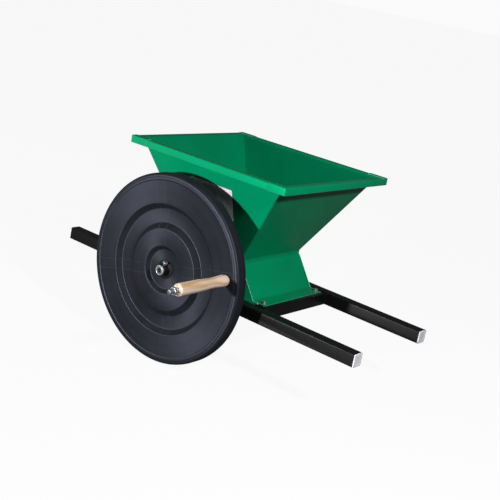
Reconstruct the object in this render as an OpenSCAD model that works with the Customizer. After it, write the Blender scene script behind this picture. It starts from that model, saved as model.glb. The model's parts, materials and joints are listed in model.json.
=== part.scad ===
// Hand-cranked grape crusher: a sheet hopper over two geared rollers, carried by two tubular
// rails that lie across a vat, and turned by a weighted flywheel with a wooden grip.
// X runs along the rails, Y away from the flywheel, Z up from the underside of the rails.

/* [Frame] */
// Length of the rails over their end caps
rail_length = 1050; // [900:10:1300]
// Width over both rails
frame_width = 362; // [360:2:370]
// Side of the square tube
tube_size = 35; // [32:1:36]
// Wall of the square tube
tube_wall = 2; // [1.5:0.5:3]
// Distance of each cross tube from the middle of the frame
cross_offset = 194; // [190:1:200]
// Thickness of an end cap's plate
cap_plate = 3; // [2:0.5:4]

/* [Hopper] */
// Length of the mouth over the folded lip
mouth_length = 540; // [480:5:620]
// Width of the mouth over the folded lip
mouth_width = 486; // [440:2:500]
// Height of the mouth above the underside of the rails
mouth_height = 388; // [370:2:440]
// Width of the flat rim round the mouth
rim_width = 20; // [14:1:26]
// Depth of the folded lip
lip_depth = 19; // [12:1:26]
// Thickness of the sheet
sheet = 2; // [1.5:0.5:2]
// Length of the collar under the hopper
throat_length = 196; // [194:1:204]
// Width of the collar under the hopper
throat_width = 276; // [274:1:280]
// Height of the collar's lower edge
throat_height = 121.5; // [121:0.5:124]
// Height of the collar
collar_height = 10; // [9:0.5:14]
// Length of the label on the near panel
label_length = 150; // [80:5:180]
// Height of the label on the near panel
label_height = 105; // [60:5:120]

/* [Crushing rollers] */
// Height of the roller axes
roller_height = 74; // [73:0.5:75]
// Distance between the roller axes
roller_spacing = 96; // [95:1:98]
// Diameter over the ribs of a roller
roller_diameter = 91; // [80:1:91]
// Length of a roller
roller_length = 256; // [240:1:257]
// Number of ribs on a roller
roller_ribs = 10; // [8:1:12]
// Diameter of both shafts
shaft_diameter = 20; // [18:1:20]

/* [Gears] */
// Number of teeth on each of the two gears
gear_teeth = 16; // [14:2:20]
// Width of the teeth
gear_width = 16; // [12:1:16]

/* [Flywheel] */
// Diameter of the flywheel
wheel_diameter = 520; // [500:5:530]
// Distance of the flywheel's seam from the middle of the frame
wheel_offset = 262; // [262:1:280]
// Half of the flywheel's thickness at its flat face
wheel_half = 19; // [18:0.5:22]
// Wall of the moulded shells
shell_wall = 3; // [2.5:0.5:3.5]
// Depth of the ring-shaped groove in the face
groove_depth = 13; // [9:0.5:13]

/* [Handle] */
// Radius at which the handle turns round the shaft
handle_radius = 221; // [200:1:226]
// Place of the handle round the wheel, from the X axis towards the top
handle_angle = 12; // [0:1:80]
// Length of the wooden grip
grip_length = 185; // [120:5:200]
// Largest diameter of the grip
grip_diameter = 33; // [28:1:38]
// Diameter of the spindle in the grip
spindle_diameter = 12; // [10:1:12]

/* [Hidden] */

$fn = 64;

// Colours as the eye sees them
paint_green = "#009a6c";
paint_black = "#1d1d20";
plastic_black = "#34353a";
plastic_white = "#ececf0";
zinc = "#c9ccd2";
steel = "#a9adb3";
bronze = "#b08d57";
alloy = "#c3c6c9";
cast_grey = "#55585c";
concrete = "#9a978f";
wood = "#d8b083";

// Clearances: sheet to sheet, bolt in hole, thread in nut, shaft in bore
seam_gap = 0.4;
hole_gap = 0.3;
thread_gap = 0.05;
shaft_gap = 0.05;
overcut = 1;

// Frame
rail_y = frame_width / 2 - tube_size / 2;
rail_inner_y = frame_width / 2 - tube_size;
tube_corner = 3;
tube_bore = tube_size - 2 * tube_wall;
rail_tube_length = rail_length - 2 * cap_plate;
cap_plug = tube_bore - 0.4;
cap_plug_depth = 14;
cap_plug_wall = 2.5;
tube_bore_corner = tube_corner - tube_wall / 2;

// Hopper
collar_top = throat_height + collar_height;
panel_thick = sheet * 1.25;
throat_x = throat_length / 2;
throat_y = throat_width / 2;
mouth_x = mouth_length / 2 - rim_width;
mouth_y = mouth_width / 2 - rim_width;
near_panel_lean = atan((mouth_y - throat_y) / (mouth_height - collar_top));
label_thick = 0.4;
label_lift = 0.05;
label_top = 325;

// Lower housing
housing_x = throat_x - sheet - seam_gap;
housing_y = throat_y - sheet - seam_gap;
tab_top = collar_top - 0.5;
bend_z = throat_height - 0.5;
foot_x = 157;
flange_end = cross_offset + tube_size / 2 - 11;
chute_slope = (foot_x - housing_x) / (bend_z - tube_size - sheet);
chute_thick = sheet * sqrt(1 + chute_slope * chute_slope);
chute_side_gap = 0.1;
plate_proud = 3.6;
plate_end_x = cross_offset - tube_size / 2 - 1;
plate_bottom = bend_z - (plate_end_x - housing_x - plate_proud) / chute_slope;
plate_shoulder = bend_z - 0.5;
plate_foot = tube_size + sheet;

// Fasteners: hexagon width, head height, shank radius, and the turn that sets a flat to the side
m8_hex = 13;
m8_head = 5.3;
m8_radius = 4;
m8_nut = 6.5;
flat_turn = 30;
m6_hex = 10;
m6_head = 4;
m6_radius = 3;
m6_nut = 5;
washer_radius = 8;
washer_thick = 1.6;
foot_bolt_x = cross_offset - 6.5;
foot_bolt_y = 122;
foot_bolt_tip = 11;
access_radius = 10;
collar_bolt_x = 70;
collar_bolt_z = throat_height + collar_height / 2;
screw_head_radius = 4.2;
screw_head = 3;
screw_radius = 2.3;

// Bearings
shaft_radius = shaft_diameter / 2;
bush_radius = 15;
bush_flange_radius = 28;
bush_flange = 5;
bush_inner_end = housing_y - sheet - 2.4;
bush_outer_end = housing_y + bush_flange;
bush_screw_circle = 21.5;
bush_screw_tip = 3;
drive_x = -roller_spacing / 2;
driven_x = roller_spacing / 2;

// Rollers
rib_radius = 5.5;
rib_circle = roller_diameter / 2 - rib_radius;
roller_core_radius = rib_circle + 1;
pin_radius = 3;
pin_half_length = roller_core_radius - 2;
pin_place = roller_length * 0.37;
pin_turn = 180 / roller_ribs;

// Gears, with their back faces clear of the rail
gear_module = roller_spacing / gear_teeth;
pitch_radius = roller_spacing / 2;
pressure_angle = 20;
base_radius = pitch_radius * cos(pressure_angle);
tip_radius = pitch_radius + 0.9 * gear_module;
root_radius = pitch_radius - 1.25 * gear_module;
tooth_backlash = 0.8;
gear_back = frame_width / 2 + 7;
gear_front = gear_back + gear_width;
gear_boss_radius = 18;
gear_boss = 6;
key_width = 6;
key_shaft_depth = 3.5;
key_gear_depth = 2.6;
key_gap = 0.1;
key_length = gear_width - 2;

// Circlips
circlip_thick = 1.2;
circlip_radius = 13;
circlip_gap = 0.6;
groove_radius = shaft_radius - 0.6;
circlip_slot = 4;
far_clip = -bush_outer_end - circlip_gap - circlip_thick;
near_clip = bush_outer_end + circlip_gap;
gear_back_clip = gear_back - circlip_gap - circlip_thick;
gear_front_clip = gear_front + gear_boss + circlip_gap;
shaft_far_end = far_clip - 5;
driven_near_end = gear_front_clip + circlip_thick + 2.5;

// Gear guard
guard_radius = pitch_radius + 12;
guard_wall = 2;
guard_back = frame_width / 2 + 1;
guard_front = driven_near_end + 6;
guard_screw_x = 124;
guard_screw_z = 18;
guard_tab_inner = roller_spacing / 2;
guard_tab_outer = 138;
guard_tab_bottom = 6;
guard_tab_height = 24;
guard_shaft_hole = 13;

// Flywheel, measured along the shaft from its seam and outwards from the shaft
wheel_radius = wheel_diameter / 2;
rim_half = 12;
rim_round = [[0, 0], [1.4, 3.5], [4.5, 6], [9, wheel_half - rim_half]];
bead_outer = 11;
bead_inner = 19;
bead_slope = 2;
bead_height = 1.2;
groove_outer = 0.687 * wheel_radius;
groove_floor_outer = 0.634 * wheel_radius;
groove_floor_inner = 0.488 * wheel_radius;
groove_inner = 0.43 * wheel_radius;
hub_recess_radius = 0.248 * wheel_radius;
hub_floor_radius = 0.212 * wheel_radius;
hub_floor = 8;
hub_solid_radius = 50;
sleeve_radius = 16;
hub_bore_radius = sleeve_radius + 0.2;
slope_wall = 1.3;
mark_turn = 1.4;
mark_spacing = 28;
mark_width = 2;
mark_height = 0.5;
ballast_inner = groove_outer + shell_wall + 3;
ballast_outer = wheel_radius - shell_wall - 3;
ballast_half = wheel_half - shell_wall - 2.5;
ballast_chamfer = 5;
screw_circle = (groove_floor_outer + groove_floor_inner) / 2;
screw_boss_radius = 6;
shell_screw_count = 6;
groove_floor = wheel_half - groove_depth;

// Hub
hub_disc_radius = 26;
hub_disc = 2;
hub_plate_radius = 46;
hub_plate = 5;
sleeve_back = -34;
sleeve_front = 27;
shaft_near_end = wheel_offset + 32;
shaft_centre_hole_radius = 7;
shaft_centre_hole = 7;
lock_ring_radius = 14;
lock_ring = 4.4;
lock_ring_back = sleeve_front + 0.1;
hub_bolt_circle = 33;
hub_bolt_count = 4;
hub_bolt_hole = 6;
hub_bolt_length = hub_plate + hub_floor + hub_bolt_hole - 0.5;
set_bolt_angle = 76;
set_bolt_place = 18;
set_bolt_reach = 20;

// Handle
spindle_radius = spindle_diameter / 2;
handle_x = handle_radius * cos(handle_angle);
handle_z = handle_radius * sin(handle_angle);
grip_gap = 0.4;
handle_washer_radius = 12;
tip_washer_radius = 10;
handle_washer = 2;
handle_nut_hex = 19;
handle_nut = 9;
grip_start = wheel_half + handle_washer + grip_gap;
grip_end = grip_start + grip_length;
tip_washer = grip_end + grip_gap;
tip_nut = tip_washer + handle_washer;
spindle_overhang = 14;
spindle_tip = tip_nut + handle_nut + spindle_overhang;
back_washer = -wheel_half - handle_washer;
back_nut = back_washer - handle_nut;
spindle_back = back_nut - 3;
grip_steps = 6;
// Stations of the grip from the wheel to the tip: share of its length, share of its largest radius
grip_stations = [[0, 0.86], [0.06, 0.96], [0.28, 0.84], [0.62, 0.98], [0.95, 1], [1, 0.76]];

// Rounded square made of straight sides and true corner arcs
module rounded_square(side, corner) {
    square([side, side - 2 * corner], center = true);
    square([side - 2 * corner, side], center = true);
    for (x = [-1, 1], y = [-1, 1])
        translate([x, y] * (side / 2 - corner))
            circle(corner);
}

// Square tube along X, centred, with its underside on the ground plane
module square_tube(length) {
    translate([-length / 2, 0, tube_size / 2])
        rotate([90, 0, 90])
            linear_extrude(length)
                difference() {
                    rounded_square(tube_size, tube_corner);
                    rounded_square(tube_bore, tube_bore_corner);
                }
}

// Sets children on a roller axis: their Z then points towards the flywheel
module on_axis(x) {
    translate([x, 0, roller_height])
        rotate([90, 0, 0])
            children();
}

// Sets children on the flywheel's shaft, counted from the flywheel's seam
module on_wheel() {
    on_axis(drive_x)
        translate([0, 0, wheel_offset])
            children();
}

// Sets children on the handle's spindle
module on_handle() {
    on_wheel()
        translate([handle_x, handle_z, 0])
            children();
}

// Ring between two heights
module ring(outer, inner, z0, z1) {
    translate([0, 0, z0])
        rotate_extrude()
            translate([inner, 0])
                square([outer - inner, z1 - z0]);
}

// Hexagon block with a given width over its flats
module hexagon(width, height) {
    cylinder(d = width / cos(30), h = height, $fn = 6);
}

// Hexagon nut standing on the ground plane
module nut(width, height, radius) {
    difference() {
        hexagon(width, height);
        translate([0, 0, -overcut])
            cylinder(r = radius + thread_gap, h = height + 2 * overcut);
    }
}

// Hexagon bolt with the underside of its head on the ground plane
module hex_bolt(width, head, radius, length) {
    hexagon(width, head);
    translate([0, 0, -length])
        cylinder(r = radius, h = length + overcut);
}

// Round-headed screw with the underside of its head on the ground plane
module pan_screw(length) {
    cylinder(r1 = screw_head_radius, r2 = screw_head_radius * 0.7, h = screw_head);
    translate([0, 0, -length])
        cylinder(r = screw_radius, h = length + overcut);
}

// Block whose rectangular section grows evenly with height
module tapered_block(x0, y0, z0, x1, y1, z1) {
    intersection() {
        rotate([90, 0, 0])
            linear_extrude(2 * y1 + 2 * overcut, center = true)
                polygon([[-x0, z0], [x0, z0], [x1, z1], [-x1, z1]]);
        rotate([90, 0, 90])
            linear_extrude(2 * x1 + 2 * overcut, center = true)
                polygon([[-y0, z0], [y0, z0], [y1, z1], [-y1, z1]]);
    }
}

// Block of full size x by y between two heights
module box(x, y, z0, z1) {
    translate([-x / 2, -y / 2, z0])
        cube([x, y, z1 - z0]);
}

function panel_reach(throat, mouth, z) =
    throat + (mouth - throat) * (z - collar_top) / (mouth_height - collar_top);

// Frame

module rail(side) {
    color(paint_black)
        translate([0, side * rail_y, 0])
            square_tube(rail_tube_length);
}

module near_rail() {
    difference() {
        rail(-1);
        for (side = [-1, 1])
            translate([side * guard_screw_x, -frame_width / 2 - overcut, guard_screw_z])
                rotate([-90, 0, 0])
                    cylinder(r = screw_radius + thread_gap, h = tube_wall + 2 * overcut);
    }
}

module far_rail() {
    rail(1);
}

module cross_tube(side) {
    color(paint_black)
        difference() {
            translate([side * cross_offset, 0, 0])
                rotate([0, 0, 90])
                    square_tube(2 * rail_inner_y);
            for (y = [-1, 1])
                translate([side * foot_bolt_x, y * foot_bolt_y, -overcut]) {
                    cylinder(r = m8_radius + hole_gap, h = tube_size + 2 * overcut);
                    cylinder(r = access_radius, h = tube_wall + 2 * overcut);
                }
        }
}

module left_cross_tube() {
    cross_tube(-1);
}

module right_cross_tube() {
    cross_tube(1);
}

module end_cap() {
    rotate([90, 0, 90]) {
        linear_extrude(cap_plate)
            rounded_square(tube_size, tube_corner);
        translate([0, 0, -cap_plug_depth])
            linear_extrude(cap_plug_depth + overcut)
                difference() {
                    rounded_square(cap_plug, tube_bore_corner);
                    square(cap_plug - 2 * cap_plug_wall, center = true);
                }
    }
}

module rail_end_caps() {
    color(plastic_white)
        for (turn = [0, 180], side = [-1, 1])
            rotate([0, 0, turn])
                translate([rail_tube_length / 2, side * rail_y, tube_size / 2])
                    end_cap();
}

// Hopper

module hopper_panels() {
    difference() {
        tapered_block(throat_x, throat_y, collar_top, mouth_x, mouth_y, mouth_height);
        tapered_block(
            panel_reach(throat_x, mouth_x, collar_top - overcut) - panel_thick,
            panel_reach(throat_y, mouth_y, collar_top - overcut) - panel_thick,
            collar_top - overcut,
            panel_reach(throat_x, mouth_x, mouth_height + overcut) - panel_thick,
            panel_reach(throat_y, mouth_y, mouth_height + overcut) - panel_thick,
            mouth_height + overcut
        );
    }
}

module hopper_rim() {
    difference() {
        box(mouth_length, mouth_width, mouth_height - sheet, mouth_height);
        box(
            2 * (mouth_x - panel_thick), 2 * (mouth_y - panel_thick),
            mouth_height - sheet - overcut, mouth_height + overcut
        );
    }
    difference() {
        box(mouth_length, mouth_width, mouth_height - lip_depth, mouth_height - sheet / 2);
        box(
            mouth_length - 2 * sheet, mouth_width - 2 * sheet,
            mouth_height - lip_depth - overcut, mouth_height
        );
    }
}

module hopper_collar() {
    difference() {
        box(throat_length, throat_width, throat_height, collar_top);
        box(
            throat_length - 2 * sheet, throat_width - 2 * sheet,
            throat_height - overcut, collar_top + overcut
        );
    }
}

// Places of the bolts that tie the collar to the side plates
module at_collar_bolts() {
    for (turn = [0, 180], x = [-1, 1])
        rotate([0, 0, turn])
            translate([x * collar_bolt_x, -throat_y, collar_bolt_z])
                rotate([90, 0, 0])
                    children();
}

module collar_bolt_holes() {
    at_collar_bolts()
        translate([0, 0, -4 * sheet])
            cylinder(r = m6_radius + hole_gap, h = 5 * sheet);
}

module hopper() {
    color(paint_green)
        difference() {
            union() {
                hopper_panels();
                hopper_rim();
                hopper_collar();
            }
            collar_bolt_holes();
        }
}

module hopper_label() {
    color(plastic_white)
        translate([0, -panel_reach(throat_y, mouth_y, label_top), label_top])
            rotate([near_panel_lean, 0, 0])
                translate([-label_length / 2, -label_thick - label_lift, -label_height])
                    cube([label_length, label_thick, label_height]);
}

// Lower housing

module at_bushes() {
    for (x = [drive_x, driven_x])
        on_axis(x)
            children();
}

module at_bush_screws() {
    for (turn = [90, 210, 330])
        rotate([0, 0, turn])
            translate([bush_screw_circle, 0, 0])
                children();
}

// Side plate on the flywheel's side, its bearing holes drilled through
module side_plate() {
    plate_top_x = housing_x - seam_gap / 2;
    shoulder_x = housing_x + (bend_z - plate_shoulder) * chute_slope + plate_proud;
    heel_x = housing_x + (bend_z - plate_foot) * chute_slope + plate_proud;
    half = [
        [plate_top_x, tab_top], [plate_top_x, plate_shoulder],
        [shoulder_x, plate_shoulder], [heel_x, plate_foot],
        [plate_end_x, plate_foot], [plate_end_x, plate_bottom]
    ];
    other_half = [for (i = [len(half) - 1:-1:0]) [-half[i].x, half[i].y]];
    difference() {
        translate([0, -housing_y + sheet, 0])
            rotate([90, 0, 0])
                linear_extrude(sheet)
                    polygon(concat(half, other_half));
        at_bushes()
            translate([0, 0, housing_y - sheet - overcut]) {
                cylinder(r = bush_radius + thread_gap, h = sheet + 2 * overcut);
                at_bush_screws()
                    cylinder(r = screw_radius + thread_gap, h = sheet + 2 * overcut);
            }
        collar_bolt_holes();
    }
}

module near_side_plate() {
    color(paint_green)
        side_plate();
}

module far_side_plate() {
    color(paint_green)
        mirror([0, 1, 0])
            side_plate();
}

// Sloping end panel with a tab into the collar and a foot on the cross tube
module chute() {
    foot_z = tube_size + sheet;
    profile = [
        [housing_x, tab_top], [housing_x, bend_z], [foot_x, foot_z], [flange_end, foot_z],
        [flange_end, tube_size], [foot_x + sheet * chute_slope - chute_thick, tube_size],
        [housing_x - chute_thick, bend_z], [housing_x - sheet, tab_top]
    ];
    color(paint_green)
        difference() {
            rotate([90, 0, 0])
                linear_extrude(2 * (housing_y - sheet - chute_side_gap), center = true)
                    polygon(profile);
            for (y = [-1, 1])
                translate([foot_bolt_x, y * foot_bolt_y, tube_size - overcut])
                    cylinder(r = m8_radius + hole_gap, h = sheet + 2 * overcut);
        }
}

module right_chute() {
    chute();
}

module left_chute() {
    mirror([1, 0, 0])
        chute();
}

// Fasteners of the hopper and housing

module collar_bolts() {
    bolt_length = 2 * sheet + seam_gap + m6_nut + 2;
    color(zinc)
        at_collar_bolts()
            hex_bolt(m6_hex, m6_head, m6_radius, bolt_length);
}

module collar_nuts() {
    color(zinc)
        at_collar_bolts()
            translate([0, 0, -2 * sheet - seam_gap - m6_nut])
                nut(m6_hex, m6_nut, m6_radius);
}

module at_foot_bolts(z) {
    for (x = [-1, 1], y = [-1, 1])
        translate([x * foot_bolt_x, y * foot_bolt_y, z])
            children();
}

module foot_bolts() {
    color(zinc)
        at_foot_bolts(tube_size + sheet + washer_thick)
            hex_bolt(m8_hex, m8_head, m8_radius, sheet + washer_thick + foot_bolt_tip);
}

module foot_washers() {
    color(zinc)
        at_foot_bolts(tube_size + sheet)
            ring(washer_radius, m8_radius + hole_gap, 0, washer_thick);
}

module foot_nuts() {
    color(zinc)
        at_foot_bolts(tube_size - tube_wall - m8_nut)
            rotate([0, 0, flat_turn])
                nut(m8_hex, m8_nut, m8_radius);
}

// Bearings

module bush() {
    difference() {
        union() {
            ring(bush_radius, shaft_radius + shaft_gap, bush_inner_end, housing_y + overcut);
            ring(bush_flange_radius, shaft_radius + shaft_gap, housing_y, bush_outer_end);
        }
        at_bush_screws()
            translate([0, 0, housing_y - overcut])
                cylinder(r = screw_radius + hole_gap, h = bush_flange + 2 * overcut);
    }
}

module near_bushes() {
    color(bronze)
        at_bushes()
            bush();
}

module far_bushes() {
    mirror([0, 1, 0])
        near_bushes();
}

module bush_screws() {
    color(zinc)
        for (side = [0, 1])
            mirror([0, side, 0])
                at_bushes()
                    at_bush_screws()
                        translate([0, 0, bush_outer_end])
                            pan_screw(bush_flange + sheet + bush_screw_tip);
}

// Guard over the gears, screwed to the near rail

module guard_outline(radius) {
    for (x = [drive_x, driven_x])
        translate([x, roller_height])
            circle(radius);
    translate([drive_x, roller_height - radius])
        square([roller_spacing, 2 * radius]);
}

module at_guard_screws() {
    for (side = [-1, 1])
        translate([side * guard_screw_x, guard_screw_z, 0])
            children();
}

// Ears of the guard that lie against the rail on both sides of the gears
module guard_ears() {
    for (side = [0, 1])
        mirror([side, 0])
            translate([guard_tab_inner, guard_tab_bottom])
                square([guard_tab_outer - guard_tab_inner, guard_tab_height]);
}

module gear_guard() {
    guard_depth = guard_front - guard_back;
    color(paint_black)
        rotate([90, 0, 0])
            difference() {
                union() {
                    translate([0, 0, guard_back])
                        linear_extrude(guard_depth)
                            guard_outline(guard_radius);
                    translate([0, 0, frame_width / 2])
                        linear_extrude(guard_wall)
                            guard_ears();
                }
                translate([0, 0, frame_width / 2 - overcut])
                    linear_extrude(guard_depth + 2 * overcut - guard_wall)
                        guard_outline(guard_radius - guard_wall);
                translate([drive_x, roller_height, guard_front - guard_wall - overcut])
                    cylinder(r = guard_shaft_hole, h = guard_wall + 2 * overcut);
                at_guard_screws()
                    translate([0, 0, frame_width / 2 - overcut])
                        cylinder(r = screw_radius + hole_gap, h = guard_wall + 2 * overcut);
            }
}

module guard_screws() {
    color(zinc)
        rotate([90, 0, 0])
            at_guard_screws()
                translate([0, 0, frame_width / 2 + guard_wall])
                    pan_screw(guard_wall + tube_wall + 2);
}

// Shafts, rollers and gears

module clip_groove(z) {
    ring(shaft_radius + overcut, groove_radius, z - thread_gap, z + circlip_thick + thread_gap);
}

module pin_holes() {
    for (end = [-1, 1])
        rotate([0, 0, pin_turn])
            translate([0, 0, end * pin_place])
                rotate([0, 90, 0])
                    cylinder(r = pin_radius + thread_gap, h = roller_diameter, center = true);
}

module keyway() {
    translate([-key_width / 2 - key_gap, shaft_radius - key_shaft_depth, gear_back + overcut - key_gap])
        cube([key_width + 2 * key_gap, key_shaft_depth + overcut, key_length + 2 * key_gap]);
}

module shaft(near_end) {
    difference() {
        translate([0, 0, shaft_far_end])
            cylinder(r = shaft_radius, h = near_end - shaft_far_end);
        for (z = [far_clip, near_clip, gear_back_clip, gear_front_clip])
            clip_groove(z);
        pin_holes();
        keyway();
    }
}

module drive_shaft() {
    color(steel)
        on_axis(drive_x)
            difference() {
                shaft(shaft_near_end);
                translate([0, 0, shaft_near_end - shaft_centre_hole])
                    cylinder(r = shaft_centre_hole_radius, h = shaft_centre_hole + overcut);
            }
}

module driven_shaft() {
    color(steel)
        on_axis(driven_x)
            shaft(driven_near_end);
}

module roller() {
    difference() {
        linear_extrude(roller_length, center = true)
            difference() {
                union() {
                    circle(roller_core_radius);
                    for (i = [0:roller_ribs - 1])
                        rotate(i * 360 / roller_ribs)
                            translate([rib_circle, 0])
                                circle(rib_radius);
                }
                circle(shaft_radius + shaft_gap);
            }
        pin_holes();
    }
}

module drive_roller() {
    color(alloy)
        on_axis(drive_x)
            roller();
}

module driven_roller() {
    color(alloy)
        on_axis(driven_x)
            roller();
}

module roller_pins() {
    for (end = [-1, 1])
        rotate([0, 0, pin_turn])
            translate([0, 0, end * pin_place])
                rotate([0, 90, 0])
                    cylinder(r = pin_radius, h = 2 * pin_half_length, center = true);
}

module drive_roller_pins() {
    color(steel)
        on_axis(drive_x)
            roller_pins();
}

module driven_roller_pins() {
    color(steel)
        on_axis(driven_x)
            roller_pins();
}

// Involute tooth flank: half angle of the tooth at a given radius
function involute(angle) = tan(angle) - angle * PI / 180;
function flank_angle(r) = acos(min(1, base_radius / r));
function tooth_half_angle(r) =
    (90 / gear_teeth) - (tooth_backlash / 2 / pitch_radius + involute(flank_angle(r))
    - involute(pressure_angle)) * 180 / PI;
flank_radii = [
    root_radius, base_radius, (base_radius + pitch_radius) / 2, pitch_radius,
    (pitch_radius + tip_radius) / 2, tip_radius
];
function flank(side, middle, radii) = [
    for (r = radii)
        let (a = middle + side * tooth_half_angle(max(r, base_radius)))
            [r * cos(a), r * sin(a)]
];
function reversed(list) = [for (i = [len(list) - 1:-1:0]) list[i]];

module gear_outline(phase) {
    polygon([
        for (i = [0:gear_teeth - 1])
            let (middle = phase + i * 360 / gear_teeth)
                each concat(flank(-1, middle, flank_radii), flank(1, middle, reversed(flank_radii)))
    ]);
}

module gear(phase) {
    keyway_height = shaft_radius + key_gear_depth + key_gap;
    difference() {
        union() {
            translate([0, 0, gear_back])
                linear_extrude(gear_width)
                    gear_outline(phase);
            translate([0, 0, gear_front - overcut])
                cylinder(r = gear_boss_radius, h = gear_boss + overcut);
        }
        translate([0, 0, gear_back - overcut])
            cylinder(r = shaft_radius + shaft_gap, h = gear_width + gear_boss + 2 * overcut);
        translate([-key_width / 2 - key_gap, 0, gear_back - overcut])
            cube([key_width + 2 * key_gap, keyway_height, gear_width + gear_boss + 2 * overcut]);
    }
}

module drive_gear() {
    color(cast_grey)
        on_axis(drive_x)
            gear(0);
}

module driven_gear() {
    color(cast_grey)
        on_axis(driven_x)
            gear(180 / gear_teeth);
}

module gear_key() {
    translate([-key_width / 2, shaft_radius - key_shaft_depth + key_gap, gear_back + overcut])
        cube([key_width, key_shaft_depth + key_gear_depth - key_gap, key_length]);
}

module drive_gear_key() {
    color(steel)
        on_axis(drive_x)
            gear_key();
}

module driven_gear_key() {
    color(steel)
        on_axis(driven_x)
            gear_key();
}

module circlip(z) {
    difference() {
        ring(circlip_radius, groove_radius + thread_gap, z, z + circlip_thick);
        translate([0, -circlip_radius, z + circlip_thick / 2])
            cube([circlip_slot, 2 * circlip_radius, 2 * circlip_thick], center = true);
    }
}

module circlips() {
    for (z = [far_clip, near_clip, gear_back_clip, gear_front_clip])
        circlip(z);
}

module drive_circlips() {
    color(steel)
        on_axis(drive_x)
            circlips();
}

module driven_circlips() {
    color(steel)
        on_axis(driven_x)
            circlips();
}

// Flywheel: two moulded shells round a concrete ring

// Section of one shell from the rim to the hub, in radius and height above the seam
function shell_section() = concat(
    [[wheel_radius, 0]],
    [for (step = rim_round) [wheel_radius - step.x, rim_half + step.y]],
    [
        [wheel_radius - bead_outer, wheel_half],
        [wheel_radius - bead_outer - bead_slope, wheel_half + bead_height],
        [wheel_radius - bead_inner + bead_slope, wheel_half + bead_height],
        [wheel_radius - bead_inner, wheel_half],
        [groove_outer, wheel_half],
        [groove_floor_outer, groove_floor],
        [groove_floor_inner, groove_floor],
        [groove_inner, wheel_half],
        [hub_recess_radius, wheel_half],
        [hub_floor_radius, hub_floor],
        [hub_bore_radius, hub_floor],
        [hub_bore_radius, 0],
        [hub_solid_radius, 0],
        [hub_solid_radius, hub_floor - shell_wall],
        [hub_floor_radius + slope_wall, hub_floor - shell_wall],
        [hub_recess_radius + slope_wall, wheel_half - shell_wall],
        [groove_inner - slope_wall, wheel_half - shell_wall],
        [groove_floor_inner - slope_wall, groove_floor - shell_wall],
        [groove_floor_outer + slope_wall, groove_floor - shell_wall],
        [groove_outer + slope_wall, wheel_half - shell_wall],
        [wheel_radius - bead_outer, wheel_half - shell_wall],
        [wheel_radius - shell_wall, rim_half - shell_wall / 2],
        [wheel_radius - shell_wall, 0]
    ]
);

module shell_body(bolt_hole_radius, bolt_hole) {
    difference() {
        rotate_extrude($fn = 180)
            polygon(shell_section());
        translate([handle_x, handle_z, 0])
            cylinder(r = spindle_radius + hole_gap, h = wheel_half + 2 * overcut);
        at_hub_bolts()
            cylinder(r = bolt_hole_radius, h = bolt_hole + overcut);
    }
}

module at_hub_bolts() {
    for (i = [0:hub_bolt_count - 1])
        rotate([0, 0, 45 + i * 360 / hub_bolt_count])
            translate([hub_bolt_circle, 0, -overcut])
                children();
}

module at_shell_screws() {
    for (i = [0:shell_screw_count - 1])
        rotate([0, 0, 30 + i * 360 / shell_screw_count])
            translate([screw_circle, 0, 0])
                children();
}

// Faint paired ridges on the outer flat of the face, one pair beside the handle
module face_marks() {
    mark_start = groove_outer + 2;
    mark_end = wheel_radius - bead_inner + bead_slope;
    for (turn = [0:90:270], side = [-1, 1])
        rotate([0, 0, handle_angle + mark_turn + turn])
            translate([mark_start, side * mark_spacing / 2 - mark_width / 2, wheel_half - mark_height])
                cube([mark_end - mark_start, mark_width, 2 * mark_height]);
}

module flywheel_front_shell() {
    color(plastic_black)
        on_wheel()
            difference() {
                union() {
                    shell_body(m8_radius + thread_gap, hub_bolt_hole);
                    difference() {
                        face_marks();
                        translate([handle_x, handle_z, 0])
                            cylinder(r = handle_washer_radius + hole_gap, h = 2 * wheel_half);
                    }
                    at_shell_screws()
                        cylinder(r = screw_boss_radius, h = groove_floor - overcut);
                }
                at_shell_screws()
                    translate([0, 0, -overcut])
                        cylinder(r = screw_radius + thread_gap, h = groove_floor);
            }
}

module flywheel_back_shell() {
    color(plastic_black)
        on_wheel()
            difference() {
                union() {
                    mirror([0, 0, 1])
                        shell_body(m8_radius + hole_gap, hub_floor + overcut);
                    at_shell_screws()
                        translate([0, 0, -groove_floor + overcut])
                            cylinder(r = screw_boss_radius, h = groove_floor - overcut);
                }
                at_shell_screws()
                    translate([0, 0, -groove_floor - overcut])
                        cylinder(r = screw_radius + hole_gap, h = groove_floor + 2 * overcut);
            }
}

module flywheel_ballast() {
    half = [
        [ballast_inner, ballast_half],
        [ballast_outer - ballast_chamfer, ballast_half],
        [ballast_outer, ballast_half - ballast_chamfer]
    ];
    lower_half = [for (p = reversed(half)) [p.x, -p.y]];
    color(concrete)
        on_wheel()
            difference() {
                rotate_extrude($fn = 180)
                    polygon(concat(half, lower_half));
                translate([handle_x, handle_z, -wheel_half])
                    cylinder(r = spindle_radius + hole_gap, h = 2 * wheel_half);
            }
}

module shell_screws() {
    color(zinc)
        on_wheel()
            at_shell_screws()
                translate([0, 0, -groove_floor])
                    mirror([0, 0, 1])
                        pan_screw(2 * groove_floor - shell_wall);
}

// Hub

module hub_flange() {
    color(paint_black)
        on_wheel()
            difference() {
                union() {
                    translate([0, 0, hub_floor])
                        cylinder(r = hub_disc_radius, h = hub_disc);
                    translate([0, 0, sleeve_back])
                        cylinder(r = sleeve_radius, h = sleeve_front - sleeve_back);
                }
                translate([0, 0, sleeve_back - overcut])
                    cylinder(r = shaft_radius + shaft_gap, h = sleeve_front - sleeve_back + 2 * overcut);
                translate([0, 0, set_bolt_place])
                    rotate([0, 90, set_bolt_angle])
                        cylinder(r = m8_radius + thread_gap, h = sleeve_radius + overcut);
            }
}

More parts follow.
